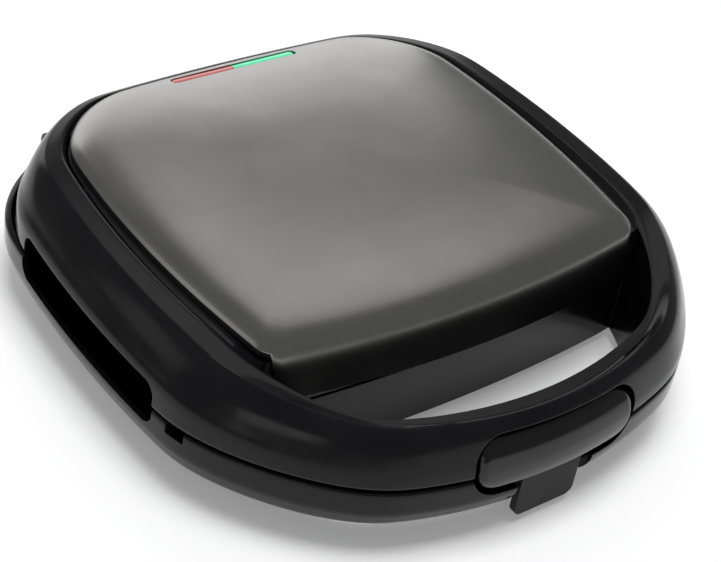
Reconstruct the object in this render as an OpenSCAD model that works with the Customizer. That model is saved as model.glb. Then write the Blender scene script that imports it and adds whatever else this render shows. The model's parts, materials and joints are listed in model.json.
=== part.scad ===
// Sandwich toaster with a hinged lid, a front handle loop and a swinging latch.
// Millimetres. X to the right, Y to the rear, Z up. The origin is on the table,
// under the middle of the overall outline.

/* [Overall] */
// Width over the skirt of the lid and base
body_w = 258; // [250:1:280]
// Depth from the front of the handle loop to the rear of the base
body_d = 266; // [262:1:290]
// Height of the join between base and lid above the table
parting_z = 33.5; // [31:0.5:36]
// Gap between the base and the lid skirt at the join
parting_gap = 1.4; // [0.8:0.1:2.4]
// Radius of the front corners in plan
front_corner_r = 53; // [46:1:62]
// Radius of the rear corners in plan
rear_corner_r = 51; // [46:1:60]
// How far the front edge bows forward between its corners
front_bow = 36; // [32:1:40]
// How far the sides bow outwards between the corners
side_bow = 11; // [8:0.5:14]

/* [Lid skirt] */
// Height of the crease where the skirt meets the top, at the sides
side_crease_z = 64; // [62:0.5:66]
// Height of the crease on the front loop
front_crease_z = 57; // [55:0.5:59]
// How far the crease lies inside the skirt's lip at the sides
side_crease_in = 14; // [13:0.5:17]
// How far the crease lies inside the lip at the front
front_crease_in = 8; // [7:0.5:10]
// Wall thickness of the mouldings
wall = 2.6; // [2:0.1:3.2]
// How far the rear of the lid stops short of the rear of the base
lid_rear_short = 10; // [10:0.5:14]

/* [Handle loop] */
// Width of the loop in plan at the front centre
loop_w = 17.5; // [17:0.5:20]
// Width of the loop at each side of the hand opening
loop_side_w = 29; // [27:0.5:34]
// Radius of the hand opening's front corners
hand_corner_r = 40; // [36:1:44]
// How far the hand opening's front edge bows forward
hand_bow = 31; // [25:1:34]
// Underside of the base loop above the table
loop_bottom_z = 9.5; // [8.5:0.5:11]

/* [Cooking chamber] */
// Room between the skirt's lip and the chamber wall at the sides
side_room = 15; // [13:0.5:18]
// Room between the chamber and the rear of the base
rear_room = 32.6; // [30:0.2:36]
// Distance from the front of the loop to the chamber's front corners
chamber_front = 75; // [73:0.5:77]
// How far the chamber's front bows forward at its centre
chamber_bow = 8; // [5:0.5:10]
// Thickness of the chamber wall
chamber_wall = 2.2; // [1.8:0.1:2.6]

/* [Lid plate] */
// Room between the skirt's lip and the metal plate at the sides
plate_room = 28.5; // [27:0.5:33]
// Height of the top of the dome
dome_z = 76; // [74:0.5:80]
// Height of the plate's side edge
plate_edge_z = 64.5; // [64:0.25:66.5]
// Height of the lower edge of the plate's folded front
apron_z = 46; // [44:0.5:50]
// Thickness of the metal sheet
sheet_t = 1; // [0.8:0.1:1.4]

/* [Side windows] */
// Front end of the windows, from the front of the loop
window_front = 92; // [88:1:98]
// Length of the windows
window_len = 104; // [90:1:108]
// How far the lid's lip is raised over a window
window_rise = 10.5; // [8:0.5:12]
// How far the base's edge dips under a window
window_dip = 8.5; // [6:0.5:10]
// Width of the small notch in the base's edge
notch_w = 9; // [6:0.5:12]
// Depth of the small notch
notch_h = 4.5; // [3:0.5:6]

/* [Latch] */
// Width of the latch pad
pad_w = 76; // [68:1:84]
// Height of the latch pad
pad_h = 24; // [22:0.5:26]
// Thickness of the latch pad
pad_t = 3.6; // [3.2:0.1:4]
// Width of the tab below the pad
tab_w = 26; // [22:0.5:32]
// Clearance around the latch pad in its recess
pad_clear = 2; // [1.6:0.1:2.4]

/* [Hinges] */
// Distance of each hinge from the centre
hinge_x = 70; // [62:1:78]
// Radius of the hinge knuckles
knuckle_r = 6; // [5:0.25:6.5]
// Diameter of the hinge pins
pin_d = 4; // [3:0.25:4.5]
// Diameter of the latch pin
latch_pin_d = 3; // [2.5:0.25:3.25]
// Radial running clearance of a pin in the part that turns on it
pin_clear = 0.05; // [0.02:0.01:0.09]
// Width of the lid's knuckle
knuckle_w = 16; // [12:0.5:20]

/* [Cooking plates] */
// Room between the chamber wall and the cooking plates at the sides
cook_side_gap = 3.8; // [3:0.1:8]
// Room behind the cooking plates for the ends of the elements
terminal_room = 19; // [17:0.5:26]
// Depth of the cells in each plate
cell_depth = 10.5; // [8:0.5:11]
// Gap between the rims of the closed plates
rim_gap = 0.5; // [0.3:0.1:1]
// Diameter of the tubular heating elements
element_d = 6.5; // [5:0.25:6.5]

/* [Lamps and feet] */
// Width of the lens strip
lens_w = 64; // [56:1:70]
// Depth of the lens strip in plan
lens_d = 5; // [4:0.25:5.5]
// Sideways place of the middle of the lens strip
lens_x = -3; // [-6:0.5:6]
// Height of the rubber feet below the floor of the base
foot_h = 5; // [4:0.5:6]
// Diameter of the rubber feet
foot_d = 16; // [12:0.5:20]

/* [Hidden] */

$fn = 48;
half_w = body_w / 2;
proud = 1.2;
front_y = -body_d / 2 + proud;
rear_y = body_d / 2 - proud;
lid_z = parting_z + parting_gap;
far = 400;
touch = 0.05;
seat_gap = 0.3;
screw_r = 1.5;
screw_clear = 0.15;

// ---- plan outlines ---------------------------------------------------------

corner_steps = 9;
side_steps = 6;
front_steps = 5;
rear_bow = 5;

// Right half of a rounded rectangle, from its front centre to its rear centre.
function half_outline(hw, yf, yr, rf, rr) = concat(
    [for (i = [0:front_steps - 1]) [(hw - rf) * i / front_steps, yf]],
    [for (i = [0:corner_steps]) let (a = 90 * i / corner_steps)
        [hw - rf + rf * sin(a), yf + rf - rf * cos(a)]],
    [for (i = [1:side_steps - 1]) [hw, yf + rf + (yr - rr - yf - rf) * i / side_steps]],
    [for (i = [0:corner_steps]) let (a = 90 * i / corner_steps)
        [hw - rr + rr * cos(a), yr - rr + rr * sin(a)]],
    [for (i = [1:front_steps]) [(hw - rr) * (1 - i / front_steps), yr]]
);

// The same outline with its sides, front and rear bowed outwards.
function bowed(p, hw, yf, yr, bs, bf, br) =
    let (mid = (yf + yr) / 2, v = (p[1] - mid) / ((yr - yf) / 2))
    let (lift = 1 - pow(p[0] / hw, 2))
    [
        p[0] + bs * (p[0] / hw) * (1 - v * v),
        p[1] + (v < 0 ? v * bf * lift : v * br * lift)
    ];

function mirrored_ring(half) = concat(
    half,
    [for (i = [len(half) - 2:-1:1]) [-half[i][0], half[i][1]]]
);

// Full outline that just touches half width hw, front yf and rear yr.
function outline(hw, yf, yr, rf, rr, bs = 0, bf = 0, br = 0) =
    let (w = hw - bs, f = yf + bf, r = yr - br)
    mirrored_ring([for (p = half_outline(w, f, r, rf, rr)) bowed(p, w, f, r, bs, bf, br)]);

// Outline of the skirt, moved in at the sides, the front and the rear.
function skirt(in_side = 0, in_front = 0, in_rear = 0, rear = rear_y) = outline(
    half_w - in_side, front_y + in_front, rear - in_rear,
    front_corner_r - (in_side + in_front) / 2,
    max(8, rear_corner_r - (in_side + in_rear) / 2),
    side_bow, front_bow, rear_bow
);

chamber_half_w = half_w - side_room;
chamber_yf = front_y + chamber_front;
chamber_yr = rear_y - rear_room;
chamber_r = 18;

// Outline of the cooking chamber, moved in by d.
function chamber(d = 0) = outline(
    chamber_half_w - d, chamber_yf - chamber_bow + d, chamber_yr - d,
    chamber_r - d, chamber_r - d, 0, chamber_bow, 0
);

// Outline of the hand opening's outer edge, moved in by d.
function hand_edge(d = 0) = outline(
    half_w - loop_side_w - d, front_y + loop_w + d, chamber_yr,
    hand_corner_r - d, 20, 0, hand_bow, 0
);

function at_height(ring, z) = [for (p = ring) [p[0], p[1], z]];

slope_start = 20;
slope_run = 80;

// 0 at the front of the handle loop, 1 from the middle of the body to the rear.
function rearward(y) =
    let (t = min(1, max(0, (y - front_y - slope_start) / slope_run)))
    t * t * (3 - 2 * t);

// Puts a ring at a height that changes from front to rear.
function at_slope(ring, z_front, z_rear) =
    [for (p = ring) [p[0], p[1], z_front + (z_rear - z_front) * rearward(p[1])]];

// ---- solids shared by the pieces -------------------------------------------

// Closed solid through rings of equal length; the first and last are flat.
module loft(rings) {
    n = len(rings[0]);
    m = len(rings);
    polyhedron(
        points = [for (r = rings) each r],
        faces = concat(
            [[for (i = [0:n - 1]) i]],
            [for (j = [0:m - 2], i = [0:n - 1])
                [j * n + i, (j + 1) * n + i, (j + 1) * n + (i + 1) % n]],
            [for (j = [0:m - 2], i = [0:n - 1])
                [j * n + i, (j + 1) * n + (i + 1) % n, j * n + (i + 1) % n]],
            [[for (i = [n - 1:-1:0]) (m - 1) * n + i]]
        ),
        convexity = 6
    );
}

module slab(points, z0, z1) {
    translate([0, 0, z0])
        linear_extrude(z1 - z0)
            polygon(points);
}

// Ring of even wall thickness between two outlines.
module band(outer, inner, z0, z1) {
    translate([0, 0, z0])
        linear_extrude(z1 - z0)
            difference() {
                polygon(outer);
                polygon(inner);
            }
}

module rod(p, length, r, axis = "z") {
    turn = axis == "x" ? [0, 90, 0] : axis == "y" ? [-90, 0, 0] : [0, 0, 0];
    translate(p)
        rotate(turn)
            cylinder(h = length, r = r);
}

// Block from its low corner to its high corner.
module block(low, high) {
    translate(low)
        cube(high - low);
}

module both_sides() {
    children();
    mirror([1, 0, 0])
        children();
}

module rounded_rect(w, h, r) {
    translate([-w / 2 + r, -h / 2])
        square([w - 2 * r, h]);
    translate([-w / 2, -h / 2 + r])
        square([w, h - 2 * r]);
    for (x = [-1, 1], y = [-1, 1])
        translate([x * (w / 2 - r), y * (h / 2 - r)])
            circle(r);
}

module rounded_block(w, d, r, y, z0, z1) {
    translate([0, y, z0])
        linear_extrude(z1 - z0)
            rounded_rect(w, d, r);
}

// ---- levels and places -----------------------------------------------------

floor_z = foot_h;
floor_top = floor_z + wall;
lip_z = lid_z + 5;
deck_z = plate_edge_z - 2.6;
deck_low = deck_z - wall;
lid_rear_y = rear_y - lid_rear_short;
window_y0 = front_y + window_front;
window_y1 = window_y0 + window_len;
window_top_z = lid_z + window_rise;
window_low_z = parting_z - window_dip;
window_x = chamber_half_w + 1.5;
hinge_y = rear_y - knuckle_r;
hinge_z = parting_z + 3;
cheek_gap = 0.6;
cheek_t = 5;
pin_r = pin_d / 2;

mid_z = (parting_z + lid_z) / 2;
cook_half_w = chamber_half_w - chamber_wall - cook_side_gap;
cook_y0 = chamber_yf + chamber_wall + 0.6;
cook_y1 = chamber_yr - chamber_wall - terminal_room;
cook_d = cook_y1 - cook_y0;
cook_yc = (cook_y0 + cook_y1) / 2;
cook_corner_r = 12;
rim_z = mid_z - rim_gap / 2;
flange_t = 2.5;
flange_low = rim_z - flange_t;
cook_low = rim_z - cell_depth - 2.5;
cook_step = 9;
frame_t = 1.2;
frame_top = flange_low - touch;
lower_frame_low = frame_top - frame_t;
upper_frame_top = 2 * mid_z - lower_frame_low;
element_z = cook_low - seat_gap - element_d / 2;
reflector_top = element_z - element_d / 2 - 1.2;
reflector_t = 0.8;

// The element's loop, and the bosses inside it that take the plate screws.
loop_front_in = 24;
loop_rear_in = 26;
loop_y0 = cook_y0 + loop_front_in;
loop_y1 = cook_y1 - loop_rear_in;
boss_in = 15;
boss_xs = [-52, 52];
boss_ys = [loop_y0 + boss_in + 1, loop_y1 - boss_in + 1];

// ---- latch shapes ----------------------------------------------------------

// The loop's front follows this radius in plan over the width of the pad.
arc_r = pow(half_w - side_bow, 2) / (2 * front_bow);
arc_half_angle = 16;
pad_top_z = parting_z + 17;
pad_low_z = pad_top_z - pad_h;
pad_corner_r = pad_h / 2 - 2;
pad_reach = 60;
pivot_in = 9;
pivot_z = pad_top_z - 4.4;
pivot_y = front_y + pivot_in;
latch_pin_r = latch_pin_d / 2;
latch_pin_end = 6;
pin_fit = 0.02;
hub_r = latch_pin_r + 1.9;
latch_rest_gap = 2;
base_recess_in = 12.7;
base_recess_side = 6;
nib_t = 2.4;
nib_low_z = floor_z - 0.4;
nib_top_z = nib_low_z + nib_t;

// Solid swept about the upright axis of the loop's front arc.
// Profile points are [inset from the loop's lip, height].
module arc_body(profile) {
    translate([0, front_y + arc_r, 0])
        rotate([0, 0, -90 - arc_half_angle])
            rotate_extrude(angle = 2 * arc_half_angle, $fn = 180)
                polygon([for (p = profile) [arc_r - p[0], p[1]]]);
}

// Outer face of the pad, from its lower edge to its top.
function pad_face(d = 0) = [
    [1.6 + d, pad_low_z - 1],
    [-0.6 + d, pad_low_z + 2.5],
    [-1.2 + d, pad_low_z + 7],
    [-1.0 + d, parting_z + 5],
    [0.4 + d, pad_top_z - 7],
    [2.4 + d, pad_top_z - 3.6],
    [4.6 + d, pad_top_z - 1.3],
    [7.6 + d, pad_top_z + 0.8]
];

function reversed(list) = [for (i = [len(list) - 1:-1:0]) list[i]];

module pad_window(grow) {
    translate([0, front_y + pad_reach, (pad_top_z + pad_low_z) / 2])
        rotate([90, 0, 0])
            linear_extrude(2 * pad_reach)
                rounded_rect(pad_w + 2 * grow, pad_h + 2 * grow, pad_corner_r + grow);
}

// Space that the lid's loop leaves free for the pad and the lever's hub.
module lid_latch_recess() {
    intersection() {
        arc_body([
            [-20, parting_z - 2],
            [pad_t + 3.2, parting_z - 2],
            [pad_t + 3.2, pad_top_z - 9],
            [pad_t + 9.4, pad_top_z - 3],
            [pad_t + 9.4, pad_top_z + 9],
            [-20, pad_top_z + 9]
        ]);
        pad_window(pad_clear);
    }
    block(
        [-tab_w / 2 - 0.6, front_y - 20, lid_z - 2],
        [tab_w / 2 + 0.6, pivot_y + hub_r + 1, pad_top_z + 0.1]
    );
}

// Space that the base's loop leaves free for the pad, the lever and its nib.
module base_latch_recess() {
    intersection() {
        arc_body([
            [-20, -2],
            [base_recess_in, -2],
            [base_recess_in, parting_z + 2],
            [-20, parting_z + 2]
        ]);
        union() {
            pad_window(pad_clear);
            block(
                [-pad_w / 2 - pad_clear, front_y - 20, pad_low_z - pad_clear],
                [pad_w / 2 + pad_clear, front_y + 20, parting_z + 2]
            );
            block(
                [-tab_w / 2 - base_recess_side, front_y - 20, -5],
                [tab_w / 2 + base_recess_side, front_y + 20, parting_z]
            );
        }
    }
}

// ---- lid housing -----------------------------------------------------------

deck_in = 40;
deck_side_in = 26;

// Outer face of the lid from its lower edge up over the crease to the deck.
module lid_form(d, bottom_z, top_z) {
    s = side_crease_in;
    f = front_crease_in;
    fz = front_crease_z;
    sz = side_crease_z;
    // Inset at the sides, the front and the rear; height at the front and behind.
    steps = [
        [0.6, 0.3, 0.3, lip_z - 0.2 * d, lip_z + 6 - 0.4 * d],
        [0.26 * s, 0.22 * f, 0.8, lip_z + 6.4 - 0.6 * d, lip_z + 12 - 0.8 * d],
        [0.58 * s, 0.56 * f, 1.4, fz - 3.4 - 0.8 * d, sz - 5.4 - d],
        [0.88 * s, 0.86 * f, 2.6, fz - 0.7 - d, sz - 1.2 - d],
        [s, f, 3.4, fz - d, sz - d],
        [s + 8, f + 3.4, 5, fz - 3.4 - d, sz + 0.6 - d],
        [s + 11, f + 12, 6, fz - 3.4 - d, deck_z - d]
    ];
    loft(concat(
        [
            at_height(skirt(1.2 + d, 1.2 + d, 1.2 + d, lid_rear_y), bottom_z),
            at_height(skirt(d, d, d, lid_rear_y), lid_z + 1.6)
        ],
        [for (p = steps)
            at_slope(skirt(p[0] + d, p[1] + d, p[2] + d, lid_rear_y), p[3], p[4])],
        [at_height(skirt(s + deck_side_in + d, f + deck_in + d, deck_in + d, lid_rear_y), top_z)]
    ));
}

// Hand opening between the loop and the chamber's front wall.
module hand_opening(z0, z1, grow = 0, back = 0) {
    difference() {
        slab(hand_edge(-grow), z0, z1);
        slab(chamber(back), z0 - 1, z1 + 1);
        block([-far, chamber_yf + 4 + grow, z0 - 2], [far, far, z1 + 2]);
    }
}

backing_d = 40;

// Solid backing behind the latch, inside the hollow loops.
module latch_backing(z0, z1) {
    reach = pad_w / 2 + pad_clear + wall;
    block([-reach, front_y - backing_d, z0], [reach, front_y + backing_d, z1]);
}

window_r = 6;

// Cut through both sides from z0 up to z1, with its upper corners rounded.
module side_window(z0, z1) {
    both_sides()
        translate([window_x, 0, 0])
            rotate([90, 0, 90])
                linear_extrude(far) {
                    translate([window_y0, z0])
                        square([window_len, z1 - window_r - z0]);
                    translate([window_y0 + window_r, z0])
                        square([window_len - 2 * window_r, z1 - z0]);
                    for (y = [window_y0 + window_r, window_y1 - window_r])
                        translate([y, z1 - window_r])
                            circle(window_r);
                }
}

arm_front_y = lid_rear_y - 5;

module lid_knuckles() {
    both_sides()
        difference() {
            union() {
                rod([hinge_x - knuckle_w / 2, hinge_y, hinge_z], knuckle_w, knuckle_r, "x");
                block(
                    [hinge_x - knuckle_w / 2, arm_front_y, hinge_z - 1],
                    [hinge_x + knuckle_w / 2, hinge_y, hinge_z + knuckle_r - 1]
                );
            }
            rod([hinge_x - knuckle_w, hinge_y, hinge_z], 2 * knuckle_w, pin_r + pin_clear, "x");
        }
}

post_x = cook_half_w - 3.6;
post_ys = [cook_y0 + 18, cook_y1 - 18];
post_r = 3.2;
lid_screw_reach = 10;
screw_head_r = 2.8;
screw_head_h = 1.7;

module at_posts() {
    for (x = [-post_x, post_x], y = post_ys)
        translate([x, y, 0])
            children();
}

stud_in = 10;
stud_xs = [-50, 50];
stud_ys = [boss_ys[0] - stud_in, boss_ys[1] + 2 * stud_in];
stud_r = 2;
stud_clear = 0.3;
stud_len = 30;
nut_t = 2.4;
nut_r = 3.8;

module at_studs() {
    for (x = stud_xs, y = stud_ys)
        translate([x, y, 0])
            children();
}

module lid_housing() {
    color("#1b1b1d") {
        difference() {
            union() {
                difference() {
                    lid_form(0, lid_z, deck_z);
                    difference() {
                        lid_form(wall, lid_z - 6, deck_low);
                        hand_opening(0, far, wall, chamber_wall);
                        latch_backing(0, far);
                        band(chamber(0), chamber(chamber_wall), lid_z, deck_z);
                        at_posts()
                            rod([0, 0, upper_frame_top], deck_z - upper_frame_top, post_r);
                    }
                    at_cheeks()
                        rod(
                            [-cheek_gap, hinge_y, hinge_z],
                            cheek_t + 2 * cheek_gap, knuckle_r + 1, "x"
                        );
                }
                lid_knuckles();
            }
            hand_opening(0, far);
            side_window(0, window_top_z);
            lid_latch_recess();
            rod(
                [-tab_w / 2 - latch_pin_end - 0.5, pivot_y, pivot_z],
                tab_w + 2 * latch_pin_end + 1, latch_pin_r + pin_fit, "x"
            );
            lens_slot(deck_low - 4, deck_z + 9, 0.4);
            at_studs()
                rod([0, 0, deck_low - wall], 3 * wall, stud_r + stud_clear);
            at_posts()
                rod([0, 0, upper_frame_top - 1], lid_screw_reach + 1.5, screw_r + screw_clear);
        }
    }
}

// ---- lid plate -------------------------------------------------------------

plate_half_w = half_w - plate_room;
plate_yf = chamber_yf - 5.5;
plate_yr = lid_rear_y - 7;
plate_bow = 9;
plate_side_bow = 8;
plate_rear_bow = 4;
plate_front_r = 7;
plate_rear_r = 36;
apron_lean = 5;
apron_wrap = 1.2;

// Outline of the metal plate moved in by d, its front edge moved back by df.
function plate_ring(d, df = 0) = outline(
    plate_half_w - d, plate_yf - plate_bow + d + df, plate_yr - d,
    min(plate_front_r + d / 6, (plate_half_w - d) / 2),
    max(5, plate_rear_r - 0.4 * d), plate_side_bow, plate_bow, plate_rear_bow
);

// Distance over which the plate rises from its edge to its flat top.
crown_run = min(0.43 * (plate_yr - plate_yf), 0.76 * plate_half_w);

// Domed form of the plate; e shrinks it evenly for the inside of the sheet.
module dome(e) {
    rise = dome_z - plate_edge_z;
    // Share of the run in from the edge, and share of the rise.
    steps = [[0.03, 0.24], [0.11, 0.46], [0.29, 0.7], [0.55, 0.89], [0.82, 0.965], [1, 1]];
    loft(concat(
        [
            at_height(plate_ring(e, -apron_lean), apron_z - 3 * e),
            at_height(plate_ring(e, -apron_lean * 0.3), plate_edge_z - 4 - e),
            at_height(plate_ring(e), plate_edge_z - e)
        ],
        [for (p = steps)
            at_height(plate_ring(p[0] * crown_run + e), plate_edge_z + p[1] * rise - e)]
    ));
}

module lid_plate() {
    color("#5a5b5e") {
        difference() {
            dome(0);
            dome(sheet_t);
            block([-far, plate_yf + apron_wrap, 0], [far, far, deck_z + seat_gap]);
            lens_slot(deck_z, dome_z + 1, 0.3);
        }
        intersection() {
            at_studs()
                rod([0, 0, deck_low - nut_t - 0.6], stud_len, stud_r);
            dome(sheet_t / 2);
        }
    }
}

module lid_plate_nuts() {
    color("#9a9c9e")
        at_studs()
            difference() {
                translate([0, 0, deck_low - nut_t - seat_gap / 3])
                    cylinder(h = nut_t, r = nut_r, $fn = 6);
                rod([0, 0, deck_low - 2 * nut_t], 3 * nut_t, stud_r + touch);
            }
}

// ---- lamps -----------------------------------------------------------------

lens_y = plate_yr - 10;
lens_top_z = plate_edge_z + 5.2;
lens_bottom_z = deck_z - 1.6;

module lens_slot(z0, z1, grow) {
    translate([lens_x, lens_y, z0])
        linear_extrude(z1 - z0)
            rounded_rect(lens_w + 2 * grow, lens_d + 2 * grow, lens_d / 2 - 0.3 + grow);
}

// Half of the lens strip, on the side given by -1 or 1.
module lens(side) {
    intersection() {
        lens_slot(lens_bottom_z, lens_top_z, 0);
        block(
            [side < 0 ? lens_x - far : lens_x + 0.05, -far, 0],
            [side < 0 ? lens_x - 0.05 : lens_x + far, far, far]
        );
    }
}

module red_lens() {
    color("#a8322f")
        lens(-1);
}

module green_lens() {
    color("#27b06a")
        lens(1);
}

lamp_r = 2.2;
lamp_len = 18;
lamp_clear = 0.2;
holder_t = 1.2;
holder_end = 4;
lamp_z = deck_low - 3.4;

// Open trough that holds the two lamps under the lenses.
module lamp_holder() {
    reach = lens_w / 2 + holder_end;
    side = lamp_r + lamp_clear + holder_t;
    low = [lens_x - reach, lens_y - side, lamp_z - side];
    high = [lens_x + reach, lens_y + side, deck_low - seat_gap / 3];
    color("#d9d6cc")
        difference() {
            block(low, high);
            block(low + holder_t * [1, 1, 1], high + holder_t * [-1, -1, 1]);
        }
}

module indicator_lamps() {
    color("#e8b48c")
        for (x = [-1, 1])
            rod([lens_x + (x * lens_w / 2 - lamp_len) / 2, lens_y, lamp_z], lamp_len, lamp_r, "x");
}

// ---- base housing ----------------------------------------------------------

// Outer face of the base from its flat floor up to the join.
module base_form(d, bottom_z, top_z) {
    b = loop_bottom_z;
    loft([
        at_height(skirt(27 + d, 27 + d, 14 + d), bottom_z),
        at_height(skirt(16 + d, 17 + d, 8 + d), floor_z + 1 + d),
        at_height(skirt(8.5 + d, 9.5 + d, 4.6 + d), b + 0.4 + d * 0.9),
        at_height(skirt(3.6 + d, 4.4 + d, 2.2 + d), b + 4.4 + d * 0.6),
        at_height(skirt(1.2 + d, 1.5 + d, 0.8 + d), b + 9 + d * 0.3),
        at_height(skirt(d, d, d), b + 14),
        at_height(skirt(d, d, d), parting_z - 1.4),
        at_height(skirt(0.9 + d, 0.9 + d, 0.9 + d), top_z)
    ]);
}

module base_hollow() {
    split_y = window_y0 - 4;
    ledge_y = lid_rear_y - 3;
    difference() {
        intersection() {
            base_form(wall, floor_top, parting_z + 6);
            union() {
                block([-far, split_y, 0], [far, ledge_y, far]);
                block([-far, split_y, 0], [far, far, parting_z - wall]);
            }
        }
        band(chamber(0), chamber(chamber_wall), 0, parting_z + 7);
        at_posts()
            rod([0, 0, 0], lower_frame_low, post_r);
    }
    difference() {
        slab(chamber(chamber_wall), floor_top, far);
        at_posts()
            rod([0, 0, 0], lower_frame_low, post_r);
    }
    difference() {
        intersection() {
            base_form(wall, floor_z - 8, parting_z - wall);
            block([-far, -far, -far], [far, split_y - wall, far]);
        }
        hand_opening(-far, far, wall, chamber_wall);
        slab(chamber(-1), -far, far);
        latch_backing(-far, far);
    }
}

cheek_xs = [
    hinge_x - knuckle_w / 2 - cheek_gap - cheek_t,
    hinge_x + knuckle_w / 2 + cheek_gap
];

// Puts a piece at the low side of each of the four hinge cheeks.
module at_cheeks() {
    both_sides()
        for (x = cheek_xs)
            translate([x, 0, 0])
                children();
}

module hinge_cheeks() {
    at_cheeks() {
        rod([0, hinge_y, hinge_z], cheek_t, knuckle_r, "x");
        block(
            [0, hinge_y - knuckle_r, parting_z - 10],
            [cheek_t, hinge_y + knuckle_r - 1, hinge_z]
        );
    }
}

foot_in = 32;
foot_x = chamber_half_w - foot_in;
foot_ys = [chamber_yf + 14, chamber_yr + 4];
foot_stem_r = 3;

module at_feet() {
    for (x = [-foot_x, foot_x], y = foot_ys)
        translate([x, y, 0])
            children();
}

vent_w = 4;
vent_len = 40;
vent_pitch = 12;
vent_row = 34;

module floor_vents() {
    for (i = [-4:4], y = [cook_yc - vent_row, cook_yc + vent_row])
        translate([i * vent_pitch, y, floor_z - 1])
            linear_extrude(wall + 2)
                rounded_rect(vent_w, vent_len, vent_w / 2 - 0.1);
}

notch_y = window_y0 - 8;

module edge_notch() {
    block(
        [chamber_half_w - 4, notch_y - notch_w, parting_z - notch_h],
        [far, notch_y, far]
    );
}

gland_x = 34;
gland_z = 20;
gland_r = 5.5;
gland_len = 7;
gland_lip = 1.6;
cord_r = 3.2;
cheek_span = knuckle_w / 2 + cheek_gap;

seat_side = 10;
seat_half_w = pad_w / 2 + seat_side;
seat_y = front_y + loop_w + 2 * seat_side;

// Middle stretch of the base's loop, which the latch closes on.
module seat_stretch(shrink) {
    block([-seat_half_w + shrink, -far, -far], [seat_half_w - shrink, seat_y, far]);
}

module latch_seat() {
    color("#161618")
        intersection() {
            difference() {
                base_form(0, floor_z, parting_z);
                base_hollow();
                hand_opening(-far, far);
                base_latch_recess();
            }
            seat_stretch(touch);
        }
}

module base_housing() {
    color("#161618") {
        difference() {
            union() {
                difference() {
                    base_form(0, floor_z, parting_z);
                    base_hollow();
                }
                hinge_cheeks();
            }
            seat_stretch(0);
            hand_opening(-far, far);
            both_sides()
                block(
                    [hinge_x - cheek_span, arm_front_y - 3, hinge_z - knuckle_r - 1],
                    [hinge_x + cheek_span, far, far]
                );
            translate([0, 0, parting_z + window_low_z])
                mirror([0, 0, 1])
                    side_window(window_low_z - 20, parting_z);
            both_sides()
                edge_notch();
            both_sides()
                rod([hinge_x - knuckle_w, hinge_y, hinge_z], 2 * knuckle_w, pin_r + pin_fit, "x");
            rod([gland_x, rear_y - 2 * gland_len, gland_z], 3 * gland_len, gland_r, "y");
            at_feet()
                rod([0, 0, floor_z - 1], wall + 2, foot_stem_r + 0.1);
            at_posts() {
                rod([0, 0, floor_z - 1], parting_z, screw_r + screw_clear);
                rod([0, 0, floor_z - 1], screw_head_h + 1.4, screw_head_r + 0.4);
            }
            floor_vents();
        }
    }
}

module rubber_feet() {
    color("#2a2a2a")
        at_feet() {
            rotate_extrude()
                polygon([
                    [0, 0],
                    [foot_d / 2 - 1.4, 0],
                    [foot_d / 2 - 0.4, 1],
                    [foot_d / 2, foot_h - touch],
                    [0, foot_h - touch]
                ]);
            rod([0, 0, foot_h - 0.2], wall, foot_stem_r);
        }
}

module hinge_pins() {
    length = knuckle_w + 2 * cheek_gap + 2 * cheek_t;
    color("#b8babd")
        both_sides()
            rod([hinge_x - length / 2, hinge_y, hinge_z], length, pin_r, "x");
}

// ---- cooking plates, frames and heating ------------------------------------

// The upper half of the cooker is the lower half turned over about the join.
module upper_half() {
    translate([0, 0, 2 * mid_z])
        mirror([0, 0, 1])
            children();
}

cell_gap = 7;
cell_w = cook_half_w - 12;
cell_h = cook_d - 22;
ridge_w = 6;
cell_round = 4;
cell_taper = 3;

// One triangular pocket; its right angle lies at the outer front corner.
module triangle_cell() {
    hull()
        for (level = [[0, 0.02], [cell_taper, cell_depth]]) {
            inset = level[0] + cell_round;
            translate([0, 0, rim_z - level[1]])
                linear_extrude(level[0] == 0 ? 1 : 0.02) {
                    translate([inset, inset])
                        circle(cell_round, $fn = 20);
                    translate([cell_w - inset * 2.2 - ridge_w / 2, inset])
                        circle(cell_round, $fn = 20);
                    translate([inset, cell_h - inset * 2.2 - ridge_w / 2])
                        circle(cell_round, $fn = 20);
                }
        }
}

// Two triangles that share the diagonal ridge of one sandwich.
module cell_pair() {
    translate([cell_gap / 2, cook_yc - cell_h / 2, 0]) {
        triangle_cell();
        translate([cell_w, cell_h, 0])
            rotate([0, 0, 180])
                triangle_cell();
    }
}

boss_r = 4;

module at_bosses() {
    for (x = boss_xs, y = boss_ys)
        translate([x, y, 0])
            children();
}

module cooking_plate() {
    difference() {
        union() {
            rounded_block(2 * cook_half_w, cook_d, cook_corner_r, cook_yc, flange_low, rim_z);
            rounded_block(
                2 * (cook_half_w - cook_step), cook_d - 2 * cook_step, 6, cook_yc,
                cook_low, flange_low + 0.5
            );
            at_bosses()
                rod([0, 0, reflector_top + 0.05], cook_low - reflector_top + 0.5, boss_r);
        }
        cell_pair();
        mirror([1, 0, 0])
            cell_pair();
        at_bosses()
            rod([0, 0, reflector_top - 1], cook_low - reflector_top + 1, screw_r + 0.03);
        at_posts()
            rod([0, 0, flange_low - 1], screw_head_h + 1.3, screw_head_r + 0.4);
    }
}

module frame() {
    difference() {
        slab(chamber(chamber_wall + seat_gap), lower_frame_low, frame_top);
        rounded_block(
            2 * (cook_half_w - cook_step) + 1, cook_d - 2 * cook_step + 1, 6, cook_yc,
            lower_frame_low - 1, frame_top + 1
        );
        at_posts()
            rod([0, 0, lower_frame_low - 1], 4, screw_r + 0.03);
    }
}

reflector_hw = cook_half_w - 12;
reflector_d = cook_d - 24;
reflector_h = 5;

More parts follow.
